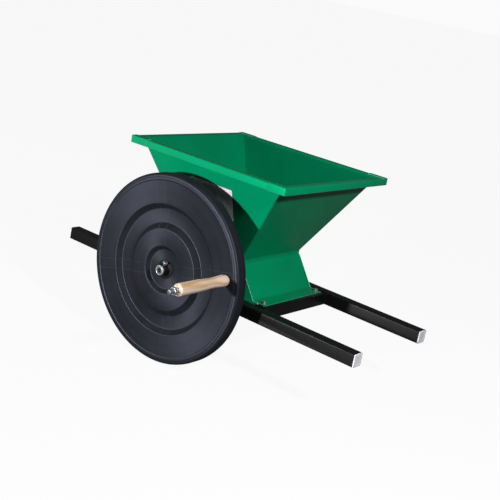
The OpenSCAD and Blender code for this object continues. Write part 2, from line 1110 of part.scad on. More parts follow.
module hub_back_plate() {
    color(paint_black)
        on_wheel()
            difference() {
                ring(hub_plate_radius, sleeve_radius + thread_gap, -hub_floor - hub_plate, -hub_floor);
                at_hub_bolts()
                    translate([0, 0, -hub_floor - hub_plate])
                        cylinder(r = m8_radius + hole_gap, h = hub_plate + 2 * overcut);
            }
}

module hub_bolts() {
    color(zinc)
        on_wheel()
            at_hub_bolts()
                translate([0, 0, overcut - hub_floor - hub_plate])
                    mirror([0, 0, 1])
                        hex_bolt(m8_hex, m8_head, m8_radius, hub_bolt_length);
}

module hub_set_bolt() {
    color(zinc)
        on_wheel()
            translate([0, 0, set_bolt_place])
                rotate([0, 90, set_bolt_angle])
                    translate([0, 0, set_bolt_reach])
                        rotate([0, 0, flat_turn])
                            hex_bolt(m8_hex, m8_head, m8_radius, set_bolt_reach - shaft_radius - hole_gap);
}

// Ring that locks the hub on the end of the shaft
module shaft_lock_ring() {
    color(zinc)
        on_wheel()
            ring(lock_ring_radius, shaft_radius + thread_gap, lock_ring_back, lock_ring_back + lock_ring);
}

// Handle

module handle_spindle() {
    color(steel)
        on_handle()
            translate([0, 0, spindle_back])
                cylinder(r = spindle_radius, h = spindle_tip - spindle_back);
}

module spindle_washers() {
    color(zinc)
        on_handle()
            for (w = [[handle_washer_radius, back_washer], [handle_washer_radius, wheel_half],
                      [tip_washer_radius, tip_washer]])
                ring(w.x, spindle_radius + thread_gap, w.y, w.y + handle_washer);
}

module spindle_nuts() {
    color(zinc)
        on_handle()
            for (z = [back_nut, tip_nut])
                translate([0, 0, z])
                    nut(handle_nut_hex, handle_nut, spindle_radius);
}

// Outline of the grip: a rounded root, a waist behind it, a swell and a chamfered tip
function grip_point(i, t) =
    let (
        a = grip_stations[i],
        b = grip_stations[i + 1],
        blend = (1 - cos(180 * t)) / 2
    )
        [grip_diameter / 2 * (a.y + (b.y - a.y) * blend), grip_length * (a.x + (b.x - a.x) * t)];
grip_outline = [
    [grip_diameter / 2 * grip_stations[0].y, 0],
    for (i = [0:len(grip_stations) - 2], step = [1:grip_steps])
        grip_point(i, step / grip_steps)
];

module handle_grip() {
    bore = spindle_radius + shaft_gap;
    color(wood)
        on_handle()
            translate([0, 0, grip_start])
                rotate_extrude()
                    polygon(concat([[bore, 0]], grip_outline, [[bore, grip_length]]));
}

near_rail();
far_rail();
left_cross_tube();
right_cross_tube();
rail_end_caps();
hopper();
hopper_label();
near_side_plate();
far_side_plate();
left_chute();
right_chute();
collar_bolts();
collar_nuts();
foot_bolts();
foot_washers();
foot_nuts();
near_bushes();
far_bushes();
bush_screws();
gear_guard();
guard_screws();
drive_shaft();
drive_roller();
drive_roller_pins();
drive_gear();
drive_gear_key();
drive_circlips();
flywheel_front_shell();
flywheel_back_shell();
flywheel_ballast();
shell_screws();
hub_flange();
hub_back_plate();
hub_bolts();
hub_set_bolt();
shaft_lock_ring();
handle_spindle();
spindle_washers();
spindle_nuts();
handle_grip();
driven_shaft();
driven_roller();
driven_roller_pins();
driven_gear();
driven_gear_key();
driven_circlips();
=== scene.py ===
import json
import math

import bmesh
import bpy
from mathutils import Matrix, Quaternion, Vector


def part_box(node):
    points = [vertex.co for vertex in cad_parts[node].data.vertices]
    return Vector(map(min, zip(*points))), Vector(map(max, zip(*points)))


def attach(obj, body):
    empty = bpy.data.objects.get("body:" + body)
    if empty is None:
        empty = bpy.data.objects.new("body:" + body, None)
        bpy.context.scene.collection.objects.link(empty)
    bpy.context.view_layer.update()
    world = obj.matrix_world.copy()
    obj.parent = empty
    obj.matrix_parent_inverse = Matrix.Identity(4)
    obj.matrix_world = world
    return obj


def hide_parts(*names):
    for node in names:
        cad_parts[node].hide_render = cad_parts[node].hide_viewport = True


# Looks of a hand-cranked grape crusher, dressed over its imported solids
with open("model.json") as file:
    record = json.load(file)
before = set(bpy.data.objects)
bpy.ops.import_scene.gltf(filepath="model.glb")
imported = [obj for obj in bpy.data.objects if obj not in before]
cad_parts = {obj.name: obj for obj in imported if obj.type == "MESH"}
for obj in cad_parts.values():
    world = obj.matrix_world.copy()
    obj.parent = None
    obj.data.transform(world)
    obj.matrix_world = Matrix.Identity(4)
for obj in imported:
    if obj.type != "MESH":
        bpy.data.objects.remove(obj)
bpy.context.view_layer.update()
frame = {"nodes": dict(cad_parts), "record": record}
nodes = frame["nodes"]
record = frame["record"]
slotOf = {part["node"]: part["material_slot"] for part in record["subparts"]}
bodyOf = {node: body for body, members in record["behaviour"]["bodies"].items() for node in members}
mm = 0.001  # sizes below are in millimetres, Blender works in metres
mergeGap = 0.004 * mm
lightWearAndHighlight = 0.2  # paleness of an edge that is touched now and then, part wear and part painted highlight, 1 is the full pale colour
waveStep = 0.314  # a Wave texture at scale 1 repeats after this many units
print("frame loaded:", len(nodes), "nodes")


# Small helpers for nodes and colours

def linear(hexColour):
    channels = [int(hexColour[i:i + 2], 16) / 255 for i in (1, 3, 5)]
    return [c / 12.92 if c <= 0.04045 else ((c + 0.055) / 1.055) ** 2.4 for c in channels] + [1.0]


def perMetre(size):
    return 1 / (size * mm)


def addNode(tree, kind, inputs=None, stops=(), **settings):
    node = tree.nodes.new("ShaderNode" + kind)
    for key, value in settings.items():
        setattr(node, key, value)
    for i, (position, colour) in enumerate(stops):
        ramp = node.color_ramp.elements
        stop = ramp[i] if i < len(ramp) else ramp.new(position)
        stop.position = position
        stop.color = colour
    for socket, value in (inputs or {}).items():
        if isinstance(value, bpy.types.Node):
            value = value.outputs[0]
        if isinstance(value, bpy.types.NodeSocket):
            tree.links.new(value, node.inputs[socket])
        else:
            node.inputs[socket].default_value = value
    return node


def startMaterial(name, **sockets):
    material = bpy.data.materials.new(name)
    material.use_nodes = True
    tree = material.node_tree
    tree.nodes.clear()
    shader = addNode(tree, "BsdfPrincipled", {k.replace("_", " "): v for k, v in sockets.items()})
    addNode(tree, "OutputMaterial", {"Surface": shader})
    place = addNode(tree, "TexCoord").outputs["Object"]
    return material, tree, shader, place


# Materials

def enamel(name, shades, wearAndHighlightColour, gloss, peel, specular, tint):
    # sprayed enamel: even colour with a slow drift, orange peel, paler along edges, part rubbed thin paint
    # and part painted highlight
    material, tree, shader, place = startMaterial(name, Specular_IOR_Level=specular,
                                                   Specular_Tint=linear(tint))
    drift = addNode(tree, "TexNoise", {"Vector": place, "Scale": perMetre(110), "Detail": 3.0})
    body = addNode(tree, "ValToRGB", {"Fac": drift}, [(0.3, linear(shades[0])), (0.7, linear(shades[1]))])
    edgeWearAndHighlight = addNode(tree, "Attribute", attribute_name="edgeWearAndHighlight")
    patches = addNode(tree, "TexNoise", {"Vector": place, "Scale": perMetre(16), "Detail": 5.0})
    thin = addNode(tree, "MapRange", {"Value": patches, "From Min": 0.3, "From Max": 0.7, "To Min": 0.4})
    # edges painted paler: part rubbed wear, part painted highlight along the edge
    wearAndHighlightMask = addNode(tree, "Math", {0: edgeWearAndHighlight.outputs["Fac"], 1: thin}, operation="MULTIPLY")
    colour = addNode(tree, "Mix", {0: wearAndHighlightMask, 6: body, 7: linear(wearAndHighlightColour)}, data_type="RGBA")
    sheen = addNode(tree, "MapRange", {"Value": patches, "To Min": gloss[0], "To Max": gloss[1]})
    # sheet is never dead flat, so the large swell shows in its reflections
    swell = addNode(tree, "TexNoise", {"Vector": place, "Scale": perMetre(180), "Detail": 1.0})
    swollen = addNode(tree, "Bump", {"Height": swell, "Strength": 0.25, "Distance": 2.0 * mm})
    # real peel is about 2 mm across, drawn at twice that so that it shows
    grain = addNode(tree, "TexNoise", {"Vector": place, "Scale": perMetre(peel), "Detail": 2.0})
    peeled = addNode(tree, "Bump", {"Height": grain, "Strength": 0.12, "Distance": 0.25 * mm,
                                    "Normal": swollen})
    tree.links.new(colour.outputs[2], shader.inputs["Base Color"])
    tree.links.new(sheen.outputs[0], shader.inputs["Roughness"])
    tree.links.new(peeled.outputs[0], shader.inputs["Normal"])
    return material


def mouldedPlastic():
    # moulded polypropylene: near black, cool satin sheen, fine grain, faint rings, paler along edges, part
    # rubbed wear and part painted highlight
    low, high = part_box("drive_shaft")
    centre = (low + high) / 2
    material, tree, shader, place = startMaterial("polypropylene_moulded_black", Specular_IOR_Level=0.5,
                                                   Specular_Tint=linear("#d6deff"), Anisotropic=0.55)
    turned = addNode(tree, "Mapping", {"Vector": place, "Location": (-centre.x, 0, -centre.z)})
    rings = addNode(tree, "TexWave", {"Vector": turned, "Scale": waveStep * perMetre(26), "Distortion": 1.5,
                                      "Detail": 2.0, "Detail Scale": 3.0},
                    wave_type="RINGS", rings_direction="Y")
    cloud = addNode(tree, "TexNoise", {"Vector": place, "Scale": perMetre(70), "Detail": 6.0,
                                       "Roughness": 0.6})
    shade = addNode(tree, "Math", {0: rings, 1: 0.12, 2: cloud}, operation="MULTIPLY_ADD")
    body = addNode(tree, "ValToRGB", {"Fac": shade}, [(0.3, linear("#15161a")), (0.75, linear("#1e1f24"))])
    dust = addNode(tree, "TexNoise", {"Vector": place, "Scale": perMetre(4), "Detail": 8.0,
                                      "Roughness": 0.8})
    specks = addNode(tree, "MapRange", {"Value": dust, "From Min": 0.68, "From Max": 0.8, "To Max": 0.25})
    dusty = addNode(tree, "Mix", {0: specks, 6: body, 7: linear("#4a4c54")}, data_type="RGBA")
    edgeWearAndHighlight = addNode(tree, "Attribute", attribute_name="edgeWearAndHighlight")
    # edges painted paler: part rubbed wear, part painted highlight along the edge
    wearAndHighlightMask = addNode(tree, "Math", {0: edgeWearAndHighlight.outputs["Fac"], 1: cloud}, operation="MULTIPLY")
    colour = addNode(tree, "Mix", {0: wearAndHighlightMask, 6: dusty.outputs[2], 7: linear("#7c7f8a")}, data_type="RGBA")
    sheen = addNode(tree, "MapRange", {"Value": shade, "From Max": 1.2, "To Min": 0.4, "To Max": 0.54})
    # the rim is handled and dull, the flat faces keep their gloss
    facing = addNode(tree, "SeparateXYZ", {"Vector": addNode(tree, "TexCoord").outputs["Normal"]})
    flat = addNode(tree, "Math", {0: facing.outputs["Y"]}, operation="ABSOLUTE")
    dulled = addNode(tree, "MapRange", {"Value": flat, "From Min": 0.2, "From Max": 0.6, "To Min": 0.8,
                                        "To Max": sheen})
    # spark-eroded grain is under 1 mm, drawn coarser so that it shows
    grain = addNode(tree, "TexNoise", {"Vector": place, "Scale": perMetre(2.2), "Detail": 3.0})
    grained = addNode(tree, "Bump", {"Height": grain, "Strength": 0.15, "Distance": 0.3 * mm})
    tree.links.new(colour.outputs[2], shader.inputs["Base Color"])
    tree.links.new(dulled.outputs[0], shader.inputs["Roughness"])
    # the mould was turned, so the sheen of the flat faces runs round the shaft
    around = addNode(tree, "VectorMath", {0: (0, 1, 0), 1: turned}, operation="CROSS_PRODUCT")
    tangent = addNode(tree, "VectorTransform", {"Vector": around}, vector_type="VECTOR",
                      convert_from="OBJECT", convert_to="WORLD")
    tree.links.new(tangent.outputs[0], shader.inputs["Tangent"])
    tree.links.new(grained.outputs[0], shader.inputs["Normal"])
    return material


def palePlastic(name, shades, grime, gloss):
    # moulded or printed white plastic: clean and even, with faint grey handling marks
    material, tree, shader, place = startMaterial(name, IOR=1.49)
    cloud = addNode(tree, "TexNoise", {"Vector": place, "Scale": perMetre(14), "Detail": 6.0,
                                       "Roughness": 0.65})
    body = addNode(tree, "ValToRGB", {"Fac": cloud},
                   [(0.3, linear(grime)), (0.5, linear(shades[0])), (0.75, linear(shades[1]))])
    sheen = addNode(tree, "MapRange", {"Value": cloud, "To Min": gloss[0], "To Max": gloss[1]})
    grain = addNode(tree, "TexNoise", {"Vector": place, "Scale": perMetre(3), "Detail": 2.0})
    grained = addNode(tree, "Bump", {"Height": grain, "Strength": 0.08, "Distance": 0.2 * mm})
    tree.links.new(body.outputs[0], shader.inputs["Base Color"])
    tree.links.new(sheen.outputs[0], shader.inputs["Roughness"])
    tree.links.new(grained.outputs[0], shader.inputs["Normal"])
    return material


def metal(name, shades, gloss, patch, turned=0.0, rough=0.1, metallic=0.85):
    # bare or plated metal: a patchy tint, a soft gloss, lathe lines where turned, a dull skin where cast
    material, tree, shader, place = startMaterial(name, Metallic=metallic)
    cloud = addNode(tree, "TexNoise", {"Vector": place, "Scale": perMetre(patch), "Detail": 5.0})
    body = addNode(tree, "ValToRGB", {"Fac": cloud}, [(0.3, linear(shades[0])), (0.7, linear(shades[1]))])
    sheen = addNode(tree, "MapRange", {"Value": cloud, "To Min": gloss[0], "To Max": gloss[1]})
    height = addNode(tree, "TexNoise", {"Vector": place, "Scale": perMetre(patch / 4), "Detail": 3.0})
    if turned:
        height = addNode(tree, "TexWave", {"Vector": place, "Scale": waveStep * perMetre(turned),
                                           "Distortion": 0.4},
                         wave_type="BANDS", bands_direction="Y")
    marked = addNode(tree, "Bump", {"Height": height, "Strength": rough, "Distance": 0.3 * mm})
    tree.links.new(body.outputs[0], shader.inputs["Base Color"])
    tree.links.new(sheen.outputs[0], shader.inputs["Roughness"])
    tree.links.new(marked.outputs[0], shader.inputs["Normal"])
    return material


def turnedBeech():
    # lacquered beech: pale warm wood, grain along the grip, short dark flecks, a thin satin coat
    material, tree, shader, place = startMaterial("beech_turned_lacquered", Coat_Weight=0.25,
                                                  Coat_Roughness=0.3)
    along = addNode(tree, "Mapping", {"Vector": place, "Scale": (1.0, 0.05, 1.0),
                                      "Rotation": (0.03, 0, 0.05)})
    # growth rings are 2 to 4 mm apart, drawn at 7 mm so that they show
    rings = addNode(tree, "TexWave", {"Vector": along, "Scale": waveStep * perMetre(7), "Distortion": 3.0,
                                      "Detail": 3.0, "Detail Scale": 1.5},
                    wave_type="BANDS", bands_direction="DIAGONAL")
    fibres = addNode(tree, "TexNoise", {"Vector": along, "Scale": perMetre(2.4), "Detail": 6.0})
    shade = addNode(tree, "Math", {0: fibres, 1: 0.6, 2: rings}, operation="MULTIPLY_ADD")
    body = addNode(tree, "ValToRGB", {"Fac": shade},
                   [(0.2, linear("#dcab7e")), (0.6, linear("#f0ceae")), (1.0, linear("#f8e4d0"))])
    short = addNode(tree, "Mapping", {"Vector": place, "Scale": (1.0, 0.2, 1.0)})
    flecks = addNode(tree, "TexNoise", {"Vector": short, "Scale": perMetre(1.6), "Detail": 2.0})
    fleck = addNode(tree, "MapRange", {"Value": flecks, "From Min": 0.62, "From Max": 0.72, "To Max": 0.4})
    colour = addNode(tree, "Mix", {0: fleck, 6: body, 7: linear("#a5744c")}, data_type="RGBA")
    sheen = addNode(tree, "MapRange", {"Value": fibres, "To Min": 0.4, "To Max": 0.58})
    ridged = addNode(tree, "Bump", {"Height": fibres, "Strength": 0.15, "Distance": 0.3 * mm})
    tree.links.new(colour.outputs[2], shader.inputs["Base Color"])
    tree.links.new(sheen.outputs[0], shader.inputs["Roughness"])
    tree.links.new(ridged.outputs[0], shader.inputs["Normal"])
    return material


def castConcrete():
    # poured concrete ballast: warm grey, sandy, dull
    material, tree, shader, place = startMaterial("concrete_cast")
    sand = addNode(tree, "TexNoise", {"Vector": place, "Scale": perMetre(6), "Detail": 8.0, "Roughness": 0.7})
    body = addNode(tree, "ValToRGB", {"Fac": sand}, [(0.3, linear("#837f78")), (0.7, linear("#aaa69d"))])
    dull = addNode(tree, "MapRange", {"Value": sand, "To Min": 0.8, "To Max": 0.95})
    gritty = addNode(tree, "Bump", {"Height": sand, "Strength": 0.4, "Distance": 0.8 * mm})
    tree.links.new(body.outputs[0], shader.inputs["Base Color"])
    tree.links.new(dull.outputs[0], shader.inputs["Roughness"])
    tree.links.new(gritty.outputs[0], shader.inputs["Normal"])
    return material


finishes = {
    "green_paint": enamel("enamel_green_sprayed", ("#008f60", "#009868"), "#a6f0d2", (0.28, 0.4), 4.5, 0.45,
                          "#10e8a0"),
    "black_paint": enamel("enamel_black_sprayed", ("#0e0e10", "#141416"), "#6a6b70", (0.34, 0.48), 4.0, 0.26,
                          "#ffffff"),
    "black_plastic": mouldedPlastic(),
    "white_plastic": palePlastic("polyethylene_moulded_white", ("#f4f4fa", "#fcfcff"), "#dadae2",
                                 (0.35, 0.55)),
    "white_vinyl": palePlastic("vinyl_film_white", ("#ececf0", "#f4f4f8"), "#dcdce4", (0.3, 0.4)),
    "zinc_steel": metal("steel_zinc_plated", ("#b5bac2", "#d6d9de"), (0.22, 0.4), 5.0),
    "bright_steel": metal("steel_turned_bright", ("#a2a6ac", "#c2c5ca"), (0.2, 0.34), 12.0, turned=2.0),
    "bronze": metal("bronze_turned", ("#9c7843", "#b9945a"), (0.28, 0.42), 9.0, turned=2.0),
    "cast_alloy": metal("aluminium_sand_cast", ("#b2b5b9", "#c9cbce"), (0.38, 0.55), 8.0, rough=0.35,
                        metallic=0.5),
    "grey_iron": metal("iron_cast_greased", ("#3f4246", "#5c5f63"), (0.35, 0.55), 7.0, rough=0.3),
    "concrete": castConcrete(),
    "beech": turnedBeech(),
}
for name, node in nodes.items():
    node.data.materials.clear()
    node.data.materials.append(finishes[slotOf[name]])
print("materials made:", len(finishes))


# Mesh helpers

def boxOf(node):
    low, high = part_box(node)
    return low / mm, high / mm


def at(x, y, z):
    return Vector((x, y, z)) * mm


def edgeWearAndHighlightLayer(bm):
    return bm.faces.layers.float.get("edgeWearAndHighlight") or bm.faces.layers.float.new("edgeWearAndHighlight")


def easeEdges(bm, width, segments=2, angle=30, wearAndHighlight=lightWearAndHighlight):
    # rounds every edge sharper than the angle, and paints these edges and the cut faces between them paler,
    # part wear and part painted highlight
    edgeWearAndHighlight = edgeWearAndHighlightLayer(bm)
    limit = math.radians(angle)
    sharp = [e for e in bm.edges if len(e.link_faces) == 2 and e.calc_face_angle(0) > limit]
    known = set(sharp)
    cutWidth = 2.6 * mm  # a face narrower than this is the edge of a sheet
    for face in bm.faces:
        longest = sorted(face.edges, key=lambda e: e.calc_length())[-2:]
        if known.issuperset(longest) and 2 * face.calc_area() < cutWidth * face.calc_perimeter():
            face[edgeWearAndHighlight] = wearAndHighlight
    made = bmesh.ops.bevel(bm, geom=sharp, offset=width * mm, segments=segments, profile=0.5,
                           affect="EDGES", material=-1, clamp_overlap=True)
    for face in made["faces"]:
        face[edgeWearAndHighlight] = wearAndHighlight


def settle(bm, name, node, stands=True, smooth=35):
    # turns the bmesh into a piece that has the node's finish, body and place
    mesh = bpy.data.meshes.new(name)
    bm.to_mesh(mesh)
    bm.free()
    mesh.shade_smooth()
    mesh.set_sharp_from_angle(angle=math.radians(smooth))
    piece = bpy.data.objects.new(name, mesh)
    bpy.context.scene.collection.objects.link(piece)
    mesh.materials.append(finishes[slotOf[node]])
    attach(piece, bodyOf[node])
    if stands:
        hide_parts(node)
    return piece


def easedCopy(node, width, wearAndHighlight):
    # the solid itself with its sharp edges taken off
    bm = bmesh.new()
    bm.from_mesh(nodes[node].data)
    bmesh.ops.remove_doubles(bm, verts=bm.verts, dist=mergeGap)
    bmesh.ops.dissolve_limit(bm, angle_limit=math.radians(0.3), verts=bm.verts, edges=bm.edges)
    easeEdges(bm, width, wearAndHighlight=wearAndHighlight)
    return settle(bm, node + "_eased", node)


def spinOutline(outline, centre, steps, wearAndHighlight=0.0):
    # outline: radius, distance towards the hand along the shaft, rounding of that corner
    bm = bmesh.new()
    edgeWearAndHighlight = edgeWearAndHighlightLayer(bm)
    verts = [bm.verts.new(at(centre.x + r, centre.y - u, centre.z)) for r, u, rounding in outline]
    for a, b in zip(verts, verts[1:] + verts[:1]):
        bm.edges.new((a, b))
    for size in sorted({rounding for r, u, rounding in outline if rounding}):
        corners = [v for v, point in zip(verts, outline) if point[2] == size]
        bmesh.ops.bevel(bm, geom=corners, offset=size * mm, segments=4, profile=0.5,
                        affect="VERTICES", material=-1)
    bmesh.ops.spin(bm, geom=bm.verts[:] + bm.edges[:], cent=centre * mm, axis=(0, 1, 0),
                   angle=2 * math.pi, steps=steps, use_merge=True)
    bmesh.ops.remove_doubles(bm, verts=bm.verts, dist=mergeGap)
    bmesh.ops.recalc_face_normals(bm, faces=bm.faces)
    smallRound, spread = 2.0, 0.5  # corners rounded by less are painted paler as painted highlight lines, to a little past the rounding
    edges = [(r, u, rounding + spread) for r, u, rounding in outline if 0 < rounding < smallRound]
    for face in bm.faces:
        spot = face.calc_center_median() / mm - centre
        reach = math.hypot(spot.x, spot.z)
        if any(math.hypot(reach - r, spot.y + u) < near for r, u, near in edges):
            face[edgeWearAndHighlight] = wearAndHighlight
    return bm


def vertsOf(geometry):
    return [g for g in geometry if isinstance(g, bmesh.types.BMVert)]


def drawOn(bm, face, step, closes=False):
    # draws a face on by one vector, and leaves the old face only where it closes the end
    region = [face] if closes else [face, *face.edges]  # with its edges, the old face is taken away
    made = bmesh.ops.extrude_face_region(bm, geom=region)["geom"]
    bmesh.ops.translate(bm, verts=vertsOf(made), vec=step)
    return next(g for g in made if isinstance(g, bmesh.types.BMFace))


def pushOut(bm, outline, depth):
    # closed outline of points, drawn out by one vector into a solid
    face = bm.faces.new([bm.verts.new(p) for p in outline])
    drawOn(bm, face, depth, closes=True)
    bmesh.ops.recalc_face_normals(bm, faces=bm.faces)


# Hopper: one sheet from the collar up over the rim and down the lip

hopperShape = {
    "sheet": 2.0,
    "slantCut": 1.25,  # width of the sloping sheet where it is cut level, in sheets
    "fold": 3.0,
    "rim": 20.0,
    "lip": 19.0,
    "collar": 10.0,
    "throatLength": 196.0,
    "throatWidth": 276.0,
    "cutEdge": 0.35,
}


def makeHopper():
    s = hopperShape
    low, high = boxOf("hopper")
    throatX = s["throatLength"] / 2 - s["sheet"]
    throatY = s["throatWidth"] / 2 - s["sheet"]
    inset = s["rim"] + s["sheet"] * s["slantCut"]
    levels = [
        (throatX, throatY, low.z),
        (throatX, throatY, low.z + s["collar"]),
        (high.x - inset, high.y - inset, high.z),
        (high.x, high.y, high.z),
        (high.x, high.y, high.z - s["lip"]),
    ]
    bm = bmesh.new()
    loops = []
    for x, y, z in levels:
        corners = [bm.verts.new(at(a * x, b * y, z)) for a, b in ((-1, -1), (1, -1), (1, 1), (-1, 1))]
        loops.append([bm.edges.new(pair) for pair in zip(corners, corners[1:] + corners[:1])])
    for lower, upper in zip(loops, loops[1:]):
        bmesh.ops.bridge_loops(bm, edges=lower + upper)
    bmesh.ops.recalc_face_normals(bm, faces=bm.faces)
    rimFace = max(bm.faces, key=lambda f: f.calc_center_median().z)
    if rimFace.normal.z < 0:
        bmesh.ops.reverse_faces(bm, faces=bm.faces)
    easeEdges(bm, s["fold"], segments=4, angle=8, wearAndHighlight=0.0)
    bmesh.ops.solidify(bm, geom=bm.faces[:], thickness=s["sheet"] * mm)
    easeEdges(bm, s["cutEdge"], segments=1, angle=60)
    return settle(bm, "hopper_sheet", "hopper")


# Flaps of the end panels, folded round the corners onto the long rims

# the cut edges of the flaps are painted half pale: a painted highlight at the lip corners
flapShape = {"reach": 57.0, "proud": 1.3, "overlap": 2.5, "cover": 18.5, "fold": 2.3, "cutEdge": 0.3,
             "wearAndHighlight": 0.5}


def makeFlaps():
    s = flapShape
    low, high = boxOf("hopper")
    top = high.z + s["proud"]
    face = high.y + s["proud"]
    bottom = high.z - hopperShape["lip"]
    inner = high.y - s["cover"]
    section = [
        (inner, top), (face, top), (face, bottom), (face - s["overlap"], bottom),
        (face - s["overlap"], top - s["overlap"]), (inner, top - s["overlap"]),
    ]
    bm = bmesh.new()
    for sideX in (-1, 1):
        for sideY in (-1, 1):
            outline = [at(sideX * high.x, sideY * y, z) for y, z in section]
            pushOut(bm, outline, at(-sideX * s["reach"], 0, 0))
    # the outer folds lie in two of the three outside planes
    folds = [e for e in bm.edges if sum(abs(limit - value) < mergeGap for limit, value in (
        (face * mm, min(abs(v.co.y) for v in e.verts)), (top * mm, min(v.co.z for v in e.verts)),
        (high.x * mm, min(abs(v.co.x) for v in e.verts)))) > 1]
    bmesh.ops.bevel(bm, geom=folds, offset=s["fold"] * mm, segments=4, profile=0.5,
                    affect="EDGES", material=-1)
    easeEdges(bm, s["cutEdge"], segments=1, angle=60, wearAndHighlight=s["wearAndHighlight"])
    bmesh.ops.dissolve_degenerate(bm, dist=mergeGap, edges=bm.edges)
    return settle(bm, "lip_corner_flaps", "hopper", stands=False)


# Label: bare white film on the near panel

labelShape = {"corner": 4.0, "film": 0.4, "cutEdge": 0.1}


def makeLabel():
    s = labelShape
    low, high = boxOf("hopper_label")
    size = high - low
    lean = math.atan2(size.y - s["film"], size.z)
    height = size.z / math.cos(lean)
    bm = bmesh.new()
    bmesh.ops.create_grid(bm, x_segments=1, y_segments=1, size=0.5)
    bmesh.ops.scale(bm, verts=bm.verts, vec=at(size.x, height, 1))
    bmesh.ops.bevel(bm, geom=bm.verts[:], offset=s["corner"] * mm, segments=5, profile=0.5,
                    affect="VERTICES", material=-1)
    drawOn(bm, next(iter(bm.faces)), at(0, 0, s["film"]), closes=True)
    bmesh.ops.recalc_face_normals(bm, faces=bm.faces)
    bmesh.ops.rotate(bm, verts=bm.verts, matrix=Matrix.Rotation(math.pi / 2 + lean, 3, "X"))
    bmesh.ops.translate(bm, verts=bm.verts, vec=(low + high) / 2 * mm)
    easeEdges(bm, s["cutEdge"], segments=1, angle=60)
    return settle(bm, "hopper_label_film", "hopper_label")


# Chutes: flared end sheets with a tab in the collar and a foot on the cross tube

chuteShape = {"sheet": 2.0, "seam": 0.4, "bend": 121.0, "footX": 157.0, "fold": 7.0, "cutEdge": 0.35}


def makeChute(node, side):
    s = chuteShape
    low, high = boxOf(node)
    reach = max(abs(low.x), abs(high.x))
    tabX = hopperShape["throatLength"] / 2 - s["sheet"] - s["seam"]
    footZ = low.z + s["sheet"]
    line = [(tabX, high.z), (tabX, s["bend"]), (s["footX"], footZ), (reach, footZ)]
    bm = bmesh.new()
    verts = [bm.verts.new(at(side * x, low.y, z)) for x, z in line]
    edges = [bm.edges.new(pair) for pair in zip(verts, verts[1:])]
    made = bmesh.ops.extrude_edge_only(bm, edges=edges)
    bmesh.ops.translate(bm, verts=vertsOf(made["geom"]), vec=at(0, high.y - low.y, 0))
    bmesh.ops.recalc_face_normals(bm, faces=bm.faces)
    foot = min(bm.faces, key=lambda f: f.calc_center_median().z)
    if foot.normal.z < 0:
        bmesh.ops.reverse_faces(bm, faces=bm.faces)
    easeEdges(bm, s["fold"], segments=5, angle=8, wearAndHighlight=0.0)
    bmesh.ops.solidify(bm, geom=bm.faces[:], thickness=s["sheet"] * mm)
    easeEdges(bm, s["cutEdge"], segments=1, angle=60)
    return settle(bm, node + "_sheet", node)


makeHopper()
makeFlaps()
makeLabel()
makeChute("right_chute", 1)
makeChute("left_chute", -1)
print("hopper and chutes made")


# End caps of the rails: a plate with an eased edge and a shallow moulded panel

capShape = {"corner": 3.0, "arc": 4, "ease": 1.0, "easeSteps": 2, "frame": 4.5, "sunk": 0.6}


def makeCaps():
    s = capShape
    low, high = boxOf("rail_end_caps")
    railLow, railHigh = boxOf("near_rail")
    half = (railHigh.y - railLow.y) / 2
    across = Matrix.Translation(at(railHigh.x, low.y + half, half)) @ Matrix.Rotation(math.pi / 2, 4, "Y")
    bm = bmesh.new()
    bmesh.ops.create_grid(bm, x_segments=1, y_segments=1, size=half * mm, matrix=across)
    bmesh.ops.bevel(bm, geom=bm.verts[:], offset=s["corner"] * mm, segments=s["arc"], profile=0.5,
                    affect="VERTICES", material=-1)
    front = drawOn(bm, next(iter(bm.faces)), at(high.x - railHigh.x, 0, 0), closes=True)
    bmesh.ops.bevel(bm, geom=front.edges[:], offset=s["ease"] * mm, segments=s["easeSteps"], profile=0.5,
                    affect="EDGES", material=-1)
    front = max(bm.faces, key=lambda f: f.calc_center_median().x)
    centred = Matrix.Translation(-front.calc_center_median())
    size = half - s["ease"]
    for inset, sunk in ((s["frame"], 0.0), (s["frame"] + s["sunk"], s["sunk"])):
        front = drawOn(bm, front, at(-sunk, 0, 0))
        share = (half - inset) / size
        bmesh.ops.scale(bm, verts=front.verts[:], vec=(1, share, share), space=centred)
        size = half - inset
    bmesh.ops.recalc_face_normals(bm, faces=bm.faces)
    # copied to the far rail, then both turned round to the other ends
    far = bmesh.ops.duplicate(bm, geom=bm.faces[:])["geom"]
    bmesh.ops.translate(bm, verts=vertsOf(far), vec=at(0, high.y - low.y - 2 * half, 0))
    left = bmesh.ops.duplicate(bm, geom=bm.faces[:])["geom"]
    bmesh.ops.rotate(bm, verts=vertsOf(left), matrix=Matrix.Rotation(math.pi, 3, "Z"))
    return settle(bm, "rail_end_caps_moulded", "rail_end_caps")


# Weld beads where the cross tubes meet the rails

weldShape = {"radius": 3.0, "sides": 10, "ripple": 4.0, "cuts": 2, "swell": 0.14, "inset": 2.0,
             "lift": 3.0}


def addBead(bm, start, end):
    s = weldShape
    along = end - start
    rings = int(s["cuts"] * along.length / (s["ripple"] * mm))
    turn = along.to_track_quat("Z", "Y").to_matrix().to_4x4()
    made = bmesh.ops.create_cone(bm, cap_ends=True, segments=s["sides"], radius1=s["radius"] * mm,
                                 radius2=s["radius"] * mm, depth=along.length,
                                 matrix=Matrix.Translation((start + end) / 2) @ turn)
    direction = along.normalized()
    edges = dict.fromkeys(e for v in made["verts"] for e in v.link_edges)  # each once, in order
    sides = [e for e in edges
             if abs((e.verts[1].co - e.verts[0].co).dot(direction)) > along.length / 2]
    cut = bmesh.ops.subdivide_edges(bm, edges=sides, cuts=rings, use_grid_fill=True)
    for v in vertsOf(cut["geom_inner"]):
        reach = (v.co - start).dot(direction)
        middle = start + direction * reach
        wave = 1 + s["swell"] * math.sin(2 * math.pi * reach / (s["ripple"] * mm))
        v.co = middle + (v.co - middle) * wave


